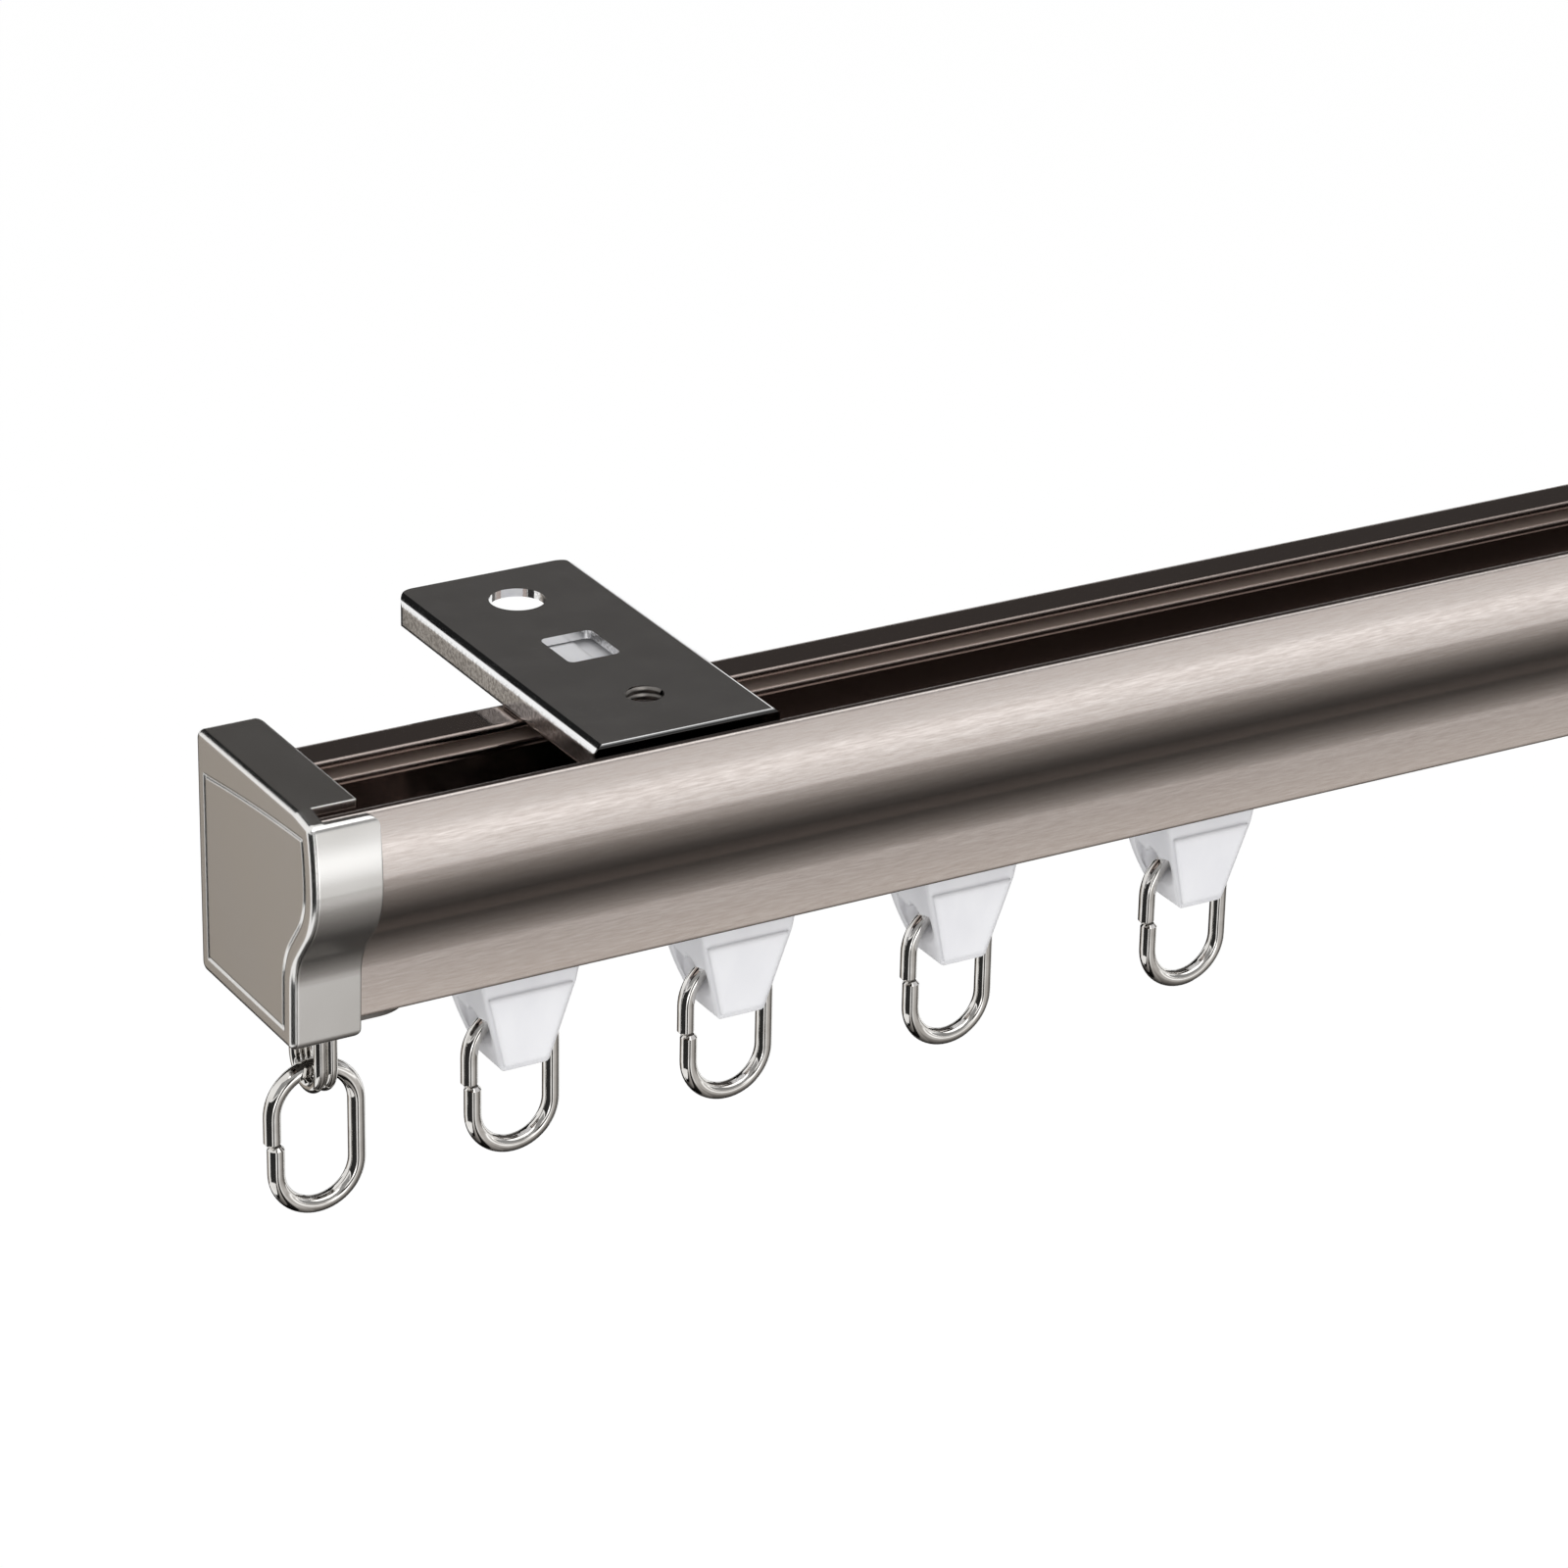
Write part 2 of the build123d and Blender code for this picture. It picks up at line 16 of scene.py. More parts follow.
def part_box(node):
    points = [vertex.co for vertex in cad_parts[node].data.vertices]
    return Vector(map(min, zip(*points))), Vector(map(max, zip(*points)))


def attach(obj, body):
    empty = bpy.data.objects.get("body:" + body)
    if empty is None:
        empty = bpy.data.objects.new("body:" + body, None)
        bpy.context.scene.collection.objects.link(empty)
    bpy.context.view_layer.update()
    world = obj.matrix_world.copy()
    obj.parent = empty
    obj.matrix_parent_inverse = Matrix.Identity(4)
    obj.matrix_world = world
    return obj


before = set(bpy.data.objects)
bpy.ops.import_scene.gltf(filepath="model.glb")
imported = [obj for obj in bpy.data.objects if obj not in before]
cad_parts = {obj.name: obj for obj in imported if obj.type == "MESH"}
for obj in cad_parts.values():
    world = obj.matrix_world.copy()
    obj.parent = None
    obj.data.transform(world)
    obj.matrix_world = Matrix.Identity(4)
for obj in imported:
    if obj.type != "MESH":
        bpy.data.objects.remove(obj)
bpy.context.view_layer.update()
LOG = logging.getLogger("curtain_track")
MM = 0.001
MICRON = 1e-6
RUNNERS = 4
TRACK_END = (-0.25, -0.03, -0.02)
WHITE = (1.0, 1.0, 1.0)
Colour = tuple[float, float, float]
Point = tuple[float, float, float]
Pair = tuple[float, float]
Socket = bpy.types.NodeSocket


class Side(Enum):
    """The two ends of the track, as seen from the room."""

    LEFT = "left"
    RIGHT = "right"


class Slot(Enum):
    """The record's material slot for the dark steel finish."""

    DARK_STEEL = "dark_steel"


class Axis(Enum):
    """The three axes, by the names of a vector's sockets."""

    X = "X"
    Y = "Y"
    Z = "Z"


class Blend(Enum):
    """The ways of mixing two colours."""

    MIX = "MIX"
    MULTIPLY = "MULTIPLY"


def grey(level: float) -> Colour:
    """Return a neutral colour of one linear level."""
    return (level, level, level)


def opaque(colour: Colour) -> tuple[float, float, float, float]:
    """Return a colour with full opacity."""
    return (*colour, 1.0)


@dataclass(frozen=True)
class Relief:
    """A fine unevenness of a surface.

    Attributes:
        scale: cycles per metre.
        detail: octaves of the pattern.
        depth: its depth in metres.
        strength: how much of it shows.
    """

    scale: float
    detail: float
    depth: float
    strength: float


class NodeTree:
    """A small helper around one material's node tree."""

    rounding_samples = 6

    def __init__(self, name: str) -> None:
        """Make an empty material with a Principled shader.

        Args:
            name: the material's name.
        """
        self.material = bpy.data.materials.new(name)
        self.material.use_nodes = True
        self.nodes = self.material.node_tree.nodes
        self.links = self.material.node_tree.links
        self.shader = self.nodes["Principled BSDF"]

    @cached_property
    def place(self) -> Socket:
        """The socket of the Object coordinates."""
        return self.nodes.new("ShaderNodeTexCoord").outputs["Object"]

    @cached_property
    def normal(self) -> Socket:
        """The socket of the surface's normal."""
        return self.nodes.new("ShaderNodeNewGeometry").outputs["Normal"]

    def set(self, **values: float | tuple) -> None:
        """Set sockets of the Principled shader; an underscore stands for a space."""
        for name, value in values.items():
            self.shader.inputs[name.replace("_", " ")].default_value = value

    def link(self, source: Socket, target: str) -> None:
        """Link a socket to one of the Principled shader's inputs."""
        self.links.new(source, self.shader.inputs[target])

    def noise(self, scale: float | Point, detail: float = 3.0, roughness: float = 0.5) -> Socket:
        """Return a noise pattern on Object coordinates.

        Args:
            scale: cycles per metre, one number for all axes or one for each.
            detail: octaves of the noise.
            roughness: how strong the finer octaves are.

        Returns:
            The noise's factor socket.
        """
        mapping = self.nodes.new("ShaderNodeMapping")
        mapping.inputs["Scale"].default_value = scale if isinstance(scale, tuple) else (scale, scale, scale)
        self.links.new(self.place, mapping.inputs["Vector"])
        texture = self.nodes.new("ShaderNodeTexNoise")
        texture.inputs["Scale"].default_value = 1.0
        texture.inputs["Detail"].default_value = detail
        texture.inputs["Roughness"].default_value = roughness
        self.links.new(mapping.outputs["Vector"], texture.inputs["Vector"])
        return texture.outputs["Fac"]

    def spread(self, value: Socket, low: float, high: float, centre: float = 0.5,
               width: float = 0.3) -> Socket:
        """Map the middle of a pattern's range onto two values.

        Args:
            value: the pattern.
            low: the result at the low end.
            high: the result at the high end.
            centre: the middle of the pattern's range.
            width: the full width of the range.

        Returns:
            The mapped value's socket.
        """
        remap = self.nodes.new("ShaderNodeMapRange")
        remap.inputs["From Min"].default_value = centre - width / 2
        remap.inputs["From Max"].default_value = centre + width / 2
        remap.inputs["To Min"].default_value = low
        remap.inputs["To Max"].default_value = high
        self.links.new(value, remap.inputs["Value"])
        return remap.outputs["Result"]

    def along(self, vector: Socket, axis: Axis) -> Socket:
        """Return a vector's size along one axis.

        Args:
            vector: the place or the normal.
            axis: the axis.

        Returns:
            The size's socket.
        """
        split = self.nodes.new("ShaderNodeSeparateXYZ")
        self.links.new(vector, split.inputs["Vector"])
        return split.outputs[axis.value]

    def below(self, value: Socket, limit: float, width: float) -> Socket:
        """Return a mask that is 1 where a value is below a limit, and fades over a width."""
        return self.spread(value, 1.0, 0.0, limit, width)

    def above(self, value: Socket, limit: float, width: float) -> Socket:
        """Return a mask that is 1 where a value is above a limit, and fades over a width."""
        return self.spread(value, 0.0, 1.0, limit, width)

    def mix(self, factor: Socket, first: Socket | Colour | float, second: Socket | Colour | float,
            how: Blend = Blend.MIX) -> Socket:
        """Mix two colours or two values, each a pattern or a constant, by a factor.

        Args:
            factor: the share of the second one.
            first: the one below.
            second: the one above.
            how: the way of mixing two colours.

        Returns:
            The mixed socket.
        """
        colours = any(isinstance(part, tuple) or getattr(part, "type", "") == "RGBA"
                      for part in (first, second))
        node = self.nodes.new("ShaderNodeMix")
        node.data_type = "RGBA" if colours else "FLOAT"
        if colours:
            node.blend_type = how.value
        self.links.new(factor, node.inputs["Factor"])
        for name, part in (("A", first), ("B", second)):
            if isinstance(part, Socket):
                self.links.new(part, node.inputs[name])
            else:
                node.inputs[name].default_value = opaque(part) if colours else part
        return node.outputs["Result"]

    def times(self, first: Socket, second: Socket | float) -> Socket:
        """Multiply a value by another one or by a number.

        Args:
            first: the value.
            second: the other value, or the number.

        Returns:
            The product's socket.
        """
        node = self.nodes.new("ShaderNodeMath")
        node.operation = "MULTIPLY"
        self.links.new(first, node.inputs[0])
        if isinstance(second, float):
            node.inputs[1].default_value = second
        else:
            self.links.new(second, node.inputs[1])
        return node.outputs["Value"]

    def sum(self, *parts: tuple[Socket, float]) -> Socket:
        """Add patterns up.

        Args:
            parts: each pattern with its share.

        Returns:
            The sum's socket.
        """
        total = self.times(*parts[0])
        for pattern, share in parts[1:]:
            node = self.nodes.new("ShaderNodeMath")
            node.operation = "MULTIPLY_ADD"
            node.inputs[1].default_value = share
            self.links.new(pattern, node.inputs[0])
            self.links.new(total, node.inputs[2])
            total = node.outputs["Value"]
        return total

    def vary(self, pattern: Socket, colours: tuple[Colour, Colour], roughness: Pair) -> None:
        """Let a pattern vary the shader's colour and roughness.

        Args:
            pattern: the pattern.
            colours: the colours at its low and high end.
            roughness: the roughness at its low and high end.
        """
        self.link(self.mix(self.spread(pattern, 0.0, 1.0), *colours), "Base Color")
        self.link(self.spread(pattern, *roughness), "Roughness")

    def soften(self, radius: float) -> None:
        """Round every edge in the shading.

        Args:
            radius: the rounding's radius in metres.
        """
        node = self.nodes.new("ShaderNodeBevel")
        node.samples = self.rounding_samples
        node.inputs["Radius"].default_value = radius
        self.link(node.outputs["Normal"], "Normal")

    def bump(self, height: Socket, depth: float, strength: float) -> None:
        """Raise the surface by a pattern, over any rounding that is already there.

        Args:
            height: the pattern.
            depth: its depth in metres.
            strength: how much of it shows.
        """
        node = self.nodes.new("ShaderNodeBump")
        node.inputs["Strength"].default_value = strength
        node.inputs["Distance"].default_value = depth
        self.links.new(height, node.inputs["Height"])
        before = self.shader.inputs["Normal"].links
        if before:
            self.links.new(before[0].from_socket, node.inputs["Normal"])
        self.link(node.outputs["Normal"], "Normal")

    def roughen(self, relief: Relief) -> None:
        """Raise the surface by a fine unevenness."""
        self.bump(self.noise(relief.scale, relief.detail), relief.depth, relief.strength)


@dataclass(frozen=True)
class BrushedAnodised:
    """Anodised aluminium: brushed brown-grey on the front wall, plain dark brown elsewhere.

    Attributes:
        name: the material's name.
        light: the front's colour in its bright streaks.
        dark: the front's colour in its dark streaks.
        plain: the colour of the other faces.
        ledge: the colour on top of the ledge, lighter than the faces round it: painted light, for the light
            the ledge's top catches from the opening.
        foot_painted_reflection: how much lighter the front is painted at its foot, as a painted reflection of
            the bright floor.
        foot_height: the heights where that starts and ends.
        ledge_height: the heights between which the ledge's top lies.
        ledge_fade: the width of the change at the ledge.
        front_depth: the place along Y that only the front wall is in front of.
        front_fade: the width of the change there.
        outward: the way the front's outer face faces along Y, at most.
        outward_fade: the width of that change.
        front_roughness: the front's roughness in dark and in bright streaks.
        plain_roughness: the roughness of the other faces.
        ledge_roughness: the roughness on top of the ledge.
        ledge_metallic: the metalness there.
        ledge_grain: how much the grain shows there.
        streak: the long streaks' cycles per metre.
        dash: the short dashes' cycles per metre.
        dash_share: the dashes' share of the grain, the rest being streaks.
        octaves: how strong the grain's finer octaves are.
        contrast: the width of the grain's range that the colours spread over.
        relief_depth: the depth of the brushing.
        relief_strength: how much of it shows.
        edge: the radius of the edges' rounding.
    """

    name: str = "brushed_anodised"
    light: Colour = (0.70, 0.645, 0.615)
    dark: Colour = (0.58, 0.515, 0.48)
    plain: Colour = (0.38, 0.32, 0.295)
    ledge: Colour = (0.56, 0.445, 0.385)
    foot_painted_reflection: Colour = (1.24, 1.225, 1.205)
    foot_height: Pair = (-27.0 * MM, -20.5 * MM)
    ledge_height: Pair = (-6.68 * MM, -6.4 * MM)
    ledge_fade: float = 0.1 * MM
    front_depth: float = -37.0 * MM
    front_fade: float = 0.2 * MM
    outward: float = -0.2
    outward_fade: float = 0.1
    front_roughness: Pair = (0.23, 0.13)
    plain_roughness: float = 0.10
    ledge_roughness: float = 0.42
    ledge_metallic: float = 0.5
    ledge_grain: float = 0.3
    streak: Point = (30.0, 1400.0, 1400.0)
    dash: Point = (420.0, 4200.0, 4200.0)
    dash_share: float = 0.7
    octaves: float = 0.6
    contrast: float = 0.36
    relief_depth: float = 8 * MICRON
    relief_strength: float = 0.4
    edge: float = 0.5 * MM

    def front(self, tree: NodeTree) -> Socket:
        """Return a mask of the front wall's outer face, by its place and the way it faces.

        Args:
            tree: the material's nodes.

        Returns:
            The mask's socket.
        """
        near = tree.below(tree.along(tree.place, Axis.Y), self.front_depth, self.front_fade)
        outward = tree.below(tree.along(tree.normal, Axis.Y), self.outward, self.outward_fade)
        return tree.times(near, outward)

    def lit_ledge_mask(self, tree: NodeTree) -> Socket:
        """Return a mask of the ledge's top, by its height.

        Args:
            tree: the material's nodes.

        Returns:
            The mask's socket.
        """
        height = tree.along(tree.place, Axis.Z)
        low, high = self.ledge_height
        return tree.times(tree.below(height, high, self.ledge_fade), tree.above(height, low, self.ledge_fade))

    def material(self) -> bpy.types.Material:
        """Make the metal: streaks and dashes vary the front's colour, gloss and height.

        Returns:
            The material.
        """
        tree = NodeTree(self.name)
        tree.soften(self.edge)
        front, ledge = self.front(tree), self.lit_ledge_mask(tree)
        dashes = tree.noise(self.dash, roughness=self.octaves)
        streaks = tree.noise(self.streak, roughness=self.octaves)
        grain = tree.sum((dashes, self.dash_share), (streaks, 1.0 - self.dash_share))
        brushed = tree.mix(tree.spread(grain, 0.0, 1.0, width=self.contrast), self.dark, self.light)
        # Painted reflection: the front is lightened towards its foot, for the bright floor that it reflects.
        low, high = self.foot_height
        foot = tree.below(tree.along(tree.place, Axis.Z), (low + high) / 2, high - low)
        brushed = tree.mix(foot, brushed, self.foot_painted_reflection, Blend.MULTIPLY)
        # Painted light: the ledge's top takes a lighter, less metallic colour than the faces round it, for
        # the light it catches from the opening.
        ledge_painted_light = tree.mix(tree.times(grain, self.ledge_grain), self.ledge, self.plain)
        inside = tree.mix(ledge, self.plain, ledge_painted_light)
        tree.link(tree.mix(front, inside, brushed), "Base Color")
        smooth = tree.mix(ledge, self.plain_roughness, self.ledge_roughness)
        tree.link(tree.mix(front, smooth, tree.spread(grain, *self.front_roughness)), "Roughness")
        tree.link(tree.mix(front, tree.mix(ledge, 1.0, self.ledge_metallic), 1.0), "Metallic")
        tree.bump(tree.times(dashes, front), self.relief_depth, self.relief_strength)
        return tree.material


@dataclass(frozen=True)
class SatinPlate:
    """Satin champagne plating on a casting.

    Attributes:
        name: the material's name.
        dark: the colour in its dark clouds.
        light: the colour in its bright clouds.
        roughness: the roughness in both.
        clouds: the clouds' cycles per metre.
        relief: the fine blasted grain.
        edge: the radius of the edges' rounding.
    """

    name: str = "satin_plate"
    dark: Colour = (0.785, 0.775, 0.755)
    light: Colour = (0.81, 0.80, 0.785)
    roughness: Pair = (0.17, 0.21)
    clouds: float = 90.0
    relief: Relief = Relief(5200.0, 2.0, 3 * MICRON, 0.4)
    edge: float = 0.3 * MM

    def material(self) -> bpy.types.Material:
        """Make even satin metal with a faint cloudiness.

        Returns:
            The material.
        """
        tree = NodeTree(self.name)
        tree.set(Metallic=1.0)
        tree.soften(self.edge)
        tree.vary(tree.noise(self.clouds), (self.dark, self.light), self.roughness)
        tree.roughen(self.relief)
        return tree.material


@dataclass(frozen=True)
class PolishedNickel:
    """Polished nickel on wire, with a faint tarnish.

    Attributes:
        name: the material's name.
        dark: the colour where it is tarnished.
        light: the colour where it is clean.
        roughness: the roughness in both.
        tarnish: the tarnish's cycles per metre.
        detail: its octaves.
        octaves: how strong the finer ones are.
        relief: the waviness of drawn wire.
    """

    name: str = "polished_nickel"
    dark: Colour = (0.66, 0.64, 0.61)
    light: Colour = (0.82, 0.805, 0.78)
    roughness: Pair = (0.08, 0.04)
    tarnish: float = 420.0
    detail: float = 4.0
    octaves: float = 0.6
    relief: Relief = Relief(900.0, 2.0, 5 * MICRON, 0.3)

    def material(self) -> bpy.types.Material:
        """Make bright metal whose gloss and colour vary a little.

        Returns:
            The material.
        """
        tree = NodeTree(self.name)
        tree.set(Metallic=1.0)
        tarnish = tree.noise(self.tarnish, self.detail, self.octaves)
        tree.vary(tarnish, (self.dark, self.light), self.roughness)
        tree.roughen(self.relief)
        return tree.material


@dataclass(frozen=True)
class BlackNickel:
    """Glossy black nickel on pressed sheet, with speckled flanges.

    Attributes:
        name: the material's name.
        dark: the colour in its dark clouds.
        light: the colour in its bright clouds.
        speckle_and_shade: how much darker the flanges' speckles are, partly a mottle of the sheet and partly
            painted shade.
        bend_painted_shade: how much darker the front bend is painted, as painted shade for the shadowed gap
            that it reflects.
        bend: the place along Y that only the front bend is in front of.
        bend_fade: the width of the change there.
        sideways: the way the flanges face along X, at least.
        sideways_fade: the width of that change.
        roughness: the roughness in dark and in bright clouds.
        flange_roughness: how much rougher the flanges are.
        clouds: the clouds' cycles per metre.
        grain: the speckles' cycles per metre.
        detail: their octaves.
        octaves: how strong the finer ones are.
        grain_centre: the middle of the speckles' range.
        grain_width: the width of that range.
        relief: the waviness of the sheet.
    """

    name: str = "black_nickel"
    dark: Colour = (0.86, 0.86, 0.86)
    light: Colour = (0.93, 0.93, 0.93)
    speckle_and_shade: Colour = (0.52, 0.51, 0.50)
    bend_painted_shade: Colour = (0.10, 0.10, 0.10)
    bend: float = -40.75 * MM
    bend_fade: float = 0.1 * MM
    sideways: float = 0.93
    sideways_fade: float = 0.1
    roughness: Pair = (0.08, 0.12)
    flange_roughness: float = 0.14
    clouds: float = 160.0
    grain: float = 2200.0
    detail: float = 4.0
    octaves: float = 0.65
    grain_centre: float = 0.52
    grain_width: float = 0.2
    relief: Relief = Relief(260.0, 1.0, 5 * MICRON, 0.4)

    def material(self) -> bpy.types.Material:
        """Make glossy metal, speckled on the flanges and blackest over the front bend.

        Returns:
            The material.
        """
        tree = NodeTree(self.name)
        tree.set(Metallic=1.0)
        # The sideways-facing flanges get darker speckles: partly a mottle of the sheet, partly painted shade
        # for how light falls on them.
        facing = tree.along(tree.normal, Axis.X)
        left = tree.below(facing, -self.sideways, self.sideways_fade)
        right = tree.above(facing, self.sideways, self.sideways_fade)
        flange = tree.sum((left, 1.0), (right, 1.0))
        clouds = tree.noise(self.clouds)
        plated = tree.mix(tree.spread(clouds, 0.0, 1.0), self.dark, self.light)
        speckles = tree.noise(self.grain, self.detail, self.octaves)
        grain = tree.spread(speckles, 0.0, 1.0, self.grain_centre, self.grain_width)
        mottle_and_shade = tree.mix(tree.times(flange, grain), plated, self.speckle_and_shade, Blend.MULTIPLY)
        # Painted shade: the front bend is darkened, for the shadowed gap inside the rail that it reflects.
        bend = tree.below(tree.along(tree.place, Axis.Y), self.bend, self.bend_fade)
        tree.link(tree.mix(bend, mottle_and_shade, self.bend_painted_shade, Blend.MULTIPLY), "Base Color")
        gloss = tree.spread(clouds, *self.roughness)
        tree.link(tree.sum((flange, self.flange_roughness), (gloss, 1.0)), "Roughness")
        tree.roughen(self.relief)
        return tree.material


@dataclass(frozen=True)
class MilkyAcetal:
    """Milky white acetal, slightly translucent.

    Attributes:
        name: the material's name.
        dark: the colour in its dark flow marks.
        light: the colour in its bright flow marks.
        roughness: the roughness in both.
        milkiness: the share of light that goes under the surface.
        depth: how deep it goes, in metres.
        spectrum: red, green and blue light's shares of that depth.
        refraction: the plastic's index of refraction.
        flow: the flow marks' cycles per metre.
        relief: the mould's fine texture.
        edge: the radius of the edges' rounding.
    """

    name: str = "milky_acetal"
    dark: Colour = (0.79, 0.79, 0.815)
    light: Colour = (0.835, 0.835, 0.855)
    roughness: Pair = (0.28, 0.37)
    milkiness: float = 0.35
    depth: float = 1.2 * MM
    spectrum: Point = (1.0, 1.0, 1.0)
    refraction: float = 1.48
    flow: Point = (180.0, 180.0, 90.0)
    relief: Relief = Relief(1500.0, 2.0, 5 * MICRON, 0.5)
    edge: float = 0.9 * MM

    def material(self) -> bpy.types.Material:
        """Make moulded plastic with light under its surface and soft flow marks.

        Returns:
            The material.
        """
        tree = NodeTree(self.name)
        tree.set(Subsurface_Weight=self.milkiness, Subsurface_Scale=self.depth, IOR=self.refraction)
        tree.set(Subsurface_Radius=self.spectrum)
        tree.soften(self.edge)
        tree.vary(tree.noise(self.flow), (self.dark, self.light), self.roughness)
        tree.roughen(self.relief)
        return tree.material


@dataclass(frozen=True)
class PlainFinish:
    """A plain finish: plated or bright steel, or nylon, by its metalness.

    Attributes:
        name: the material's name.
        dark: the colour in its dark clouds.
        light: the colour in its bright clouds.
        metallic: its metalness.
        roughness: the roughness in dark and in bright clouds.
        clouds: the clouds' cycles per metre.
        detail: their octaves.
        relief: the surface's fine texture.
    """

    name: str
    dark: Colour
    light: Colour
    metallic: float
    roughness: Pair
    clouds: float = 350.0
    detail: float = 4.0
    relief: Relief = Relief(2200.0, 2.0, 5 * MICRON, 0.6)

    def material(self) -> bpy.types.Material:
        """Make a slightly uneven surface.

        Returns:
            The material.
        """
        tree = NodeTree(self.name)
        tree.set(Metallic=self.metallic)
        tree.vary(tree.noise(self.clouds, self.detail), (self.dark, self.light), self.roughness)
        tree.roughen(self.relief)
        return tree.material


WHEEL = MilkyAcetal("wheel_acetal", (0.74, 0.74, 0.72), (0.8, 0.8, 0.78))
STEEL = PlainFinish("dark_steel", (0.14, 0.13, 0.12), (0.2, 0.19, 0.18), 1.0, (0.33, 0.46))
PIN = PlainFinish("pin_steel", (0.48, 0.47, 0.45), (0.56, 0.55, 0.53), 1.0, (0.20, 0.33))
NYLON = PlainFinish("dark_nylon", (0.025, 0.024, 0.023), (0.035, 0.034, 0.033), 0.0, (0.40, 0.53))


@dataclass
class Finishes:
    """Every finish of the track, made once."""

    rail: bpy.types.Material = field(default_factory=BrushedAnodised().material)
    cap: bpy.types.Material = field(default_factory=SatinPlate().material)
    nickel: bpy.types.Material = field(default_factory=PolishedNickel().material)
    sheet: bpy.types.Material = field(default_factory=BlackNickel().material)
    acetal: bpy.types.Material = field(default_factory=MilkyAcetal().material)
    wheel: bpy.types.Material = field(default_factory=WHEEL.material)
    steel_and_hole_shade: bpy.types.Material = field(default_factory=STEEL.material)
    pin: bpy.types.Material = field(default_factory=PIN.material)
    nylon: bpy.types.Material = field(default_factory=NYLON.material)


def dress(owner: str, looks: dict[str, bpy.types.Material]) -> None:
    """Give CAD nodes their materials.

    Args:
        owner: the first part of the nodes' names.
        looks: the material of each piece, by the rest of its node's name.
    """
    for piece, material in looks.items():
        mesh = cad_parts[owner + piece].data
        mesh.materials.clear()
        mesh.materials.append(material)
        LOG.info("%s dressed", owner + piece)


def grid_faces(rows: int, columns: int) -> np.ndarray:
    """Return the quads of a grid of points stored row by row.

    Args:
        rows: points along the first parameter.
        columns: points along the second parameter.

    Returns:
        An array of four point numbers for each quad.
    """
    corner = (np.arange(rows - 1)[:, None] * columns + np.arange(columns - 1)[None, :]).ravel()
    return np.stack([corner, corner + 1, corner + columns + 1, corner + columns], axis=1)


def add_grid(name: str, points: np.ndarray, material: bpy.types.Material) -> bpy.types.Object:
    """Add a smooth surface through a grid of points.

    Args:
        name: the object's name.
        points: its points in metres, as rows of columns of three coordinates.
        material: its material.

    Returns:
        The new object.
    """
    mesh = bpy.data.meshes.new(name)
    mesh.from_pydata(points.reshape(-1, 3).tolist(), [], grid_faces(*points.shape[:2]).tolist())
    mesh.polygons.foreach_set("use_smooth", np.ones(len(mesh.polygons), dtype=bool))
    mesh.materials.append(material)
    mesh.update()
    surface = bpy.data.objects.new(name, mesh)
    bpy.context.scene.collection.objects.link(surface)
    return surface


@dataclass
class Rail:
    """The extruded rail."""

    finishes: Finishes

    def build(self) -> None:
        """Dress the rail."""
        dress("rail", {"": self.finishes.rail})


@dataclass
class EndStop:
    """One end of the track: its cap, clamp plate, stop block, eye and ring."""

    side: Side
    finishes: Finishes

    def build(self) -> None:
        """Dress the end's pieces."""
        dress(self.side.value, {
            "_end_cap": self.finishes.cap,
            "_clamp_plate": self.finishes.steel_and_hole_shade,
            "_stop_eye": self.finishes.nickel,
            "_stop_block": self.finishes.nylon,
            "_stop_screw": self.finishes.steel_and_hole_shade,
            "_end_ring": self.finishes.nickel,
        })


@dataclass
class Bracket:
    """One ceiling bracket with its slider and the thread in its small hole.

    Attributes:
        side: its end of the track.
        finishes: the track's finishes.
        rail_front: the rail's front face along Y.
        hole_setback: how far the hole's axis lies behind that face.
        hole_radius: the hole's radius.
        thread_depth: how far the thread's ridge stands in.
        pitch: the thread's pitch.
        thread_length: how far the thread winds down.
        thread_lift: how far it starts above the plate's top.
        around: points in a turn of it.
        across: points across its ridge.
    """

    side: Side
    finishes: Finishes
    rail_front: float = -43.6 * MM
    hole_setback: float = 12.9 * MM
    hole_radius: float = 2.25 * MM
    thread_depth: float = 0.28 * MM
    pitch: float = 0.8 * MM
    thread_length: float = 1.5 * MM
    thread_lift: float = 0.05 * MM
    around: int = 48
    across: int = 5

    def thread(self) -> None:
        """Add the thread: a ridge wound along the hole's wall.

        A point at turn t and at share s across the ridge has the angle 2 pi t, a height
        pitch times (t + s) below the start, and the hole's radius less depth times sin(pi s).
        """
        low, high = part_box(f"{self.side.value}_bracket_plate")
        turns = self.thread_length / self.pitch
        turn, share = np.meshgrid(np.linspace(0.0, turns, int(self.around * turns)),
                                  np.linspace(0.0, 1.0, self.across), indexing="ij")
        angle = 2.0 * math.pi * turn
        radius = self.hole_radius - self.thread_depth * np.sin(math.pi * share)
        x = (low.x + high.x) / 2 + radius * np.cos(angle)
        y = self.rail_front + self.hole_setback + radius * np.sin(angle)
        z = high.z + self.thread_lift - self.pitch * (turn + share)
        name = f"{self.side.value}_bracket_thread"
        # The thread takes the dark steel finish, darker than the plate it is cut in: painted shade inside the
        # hole.
        piece = add_grid(name, np.stack([x, y, z], axis=-1), self.finishes.steel_and_hole_shade)
        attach(piece, "track")
        LOG.info("%s rides on the track", name)

    def build(self) -> None:
        """Dress the bracket and add its thread."""
        dress(self.side.value, {
            "_bracket_plate": self.finishes.sheet,
            "_bracket_slider": self.finishes.acetal,
        })
        self.thread()


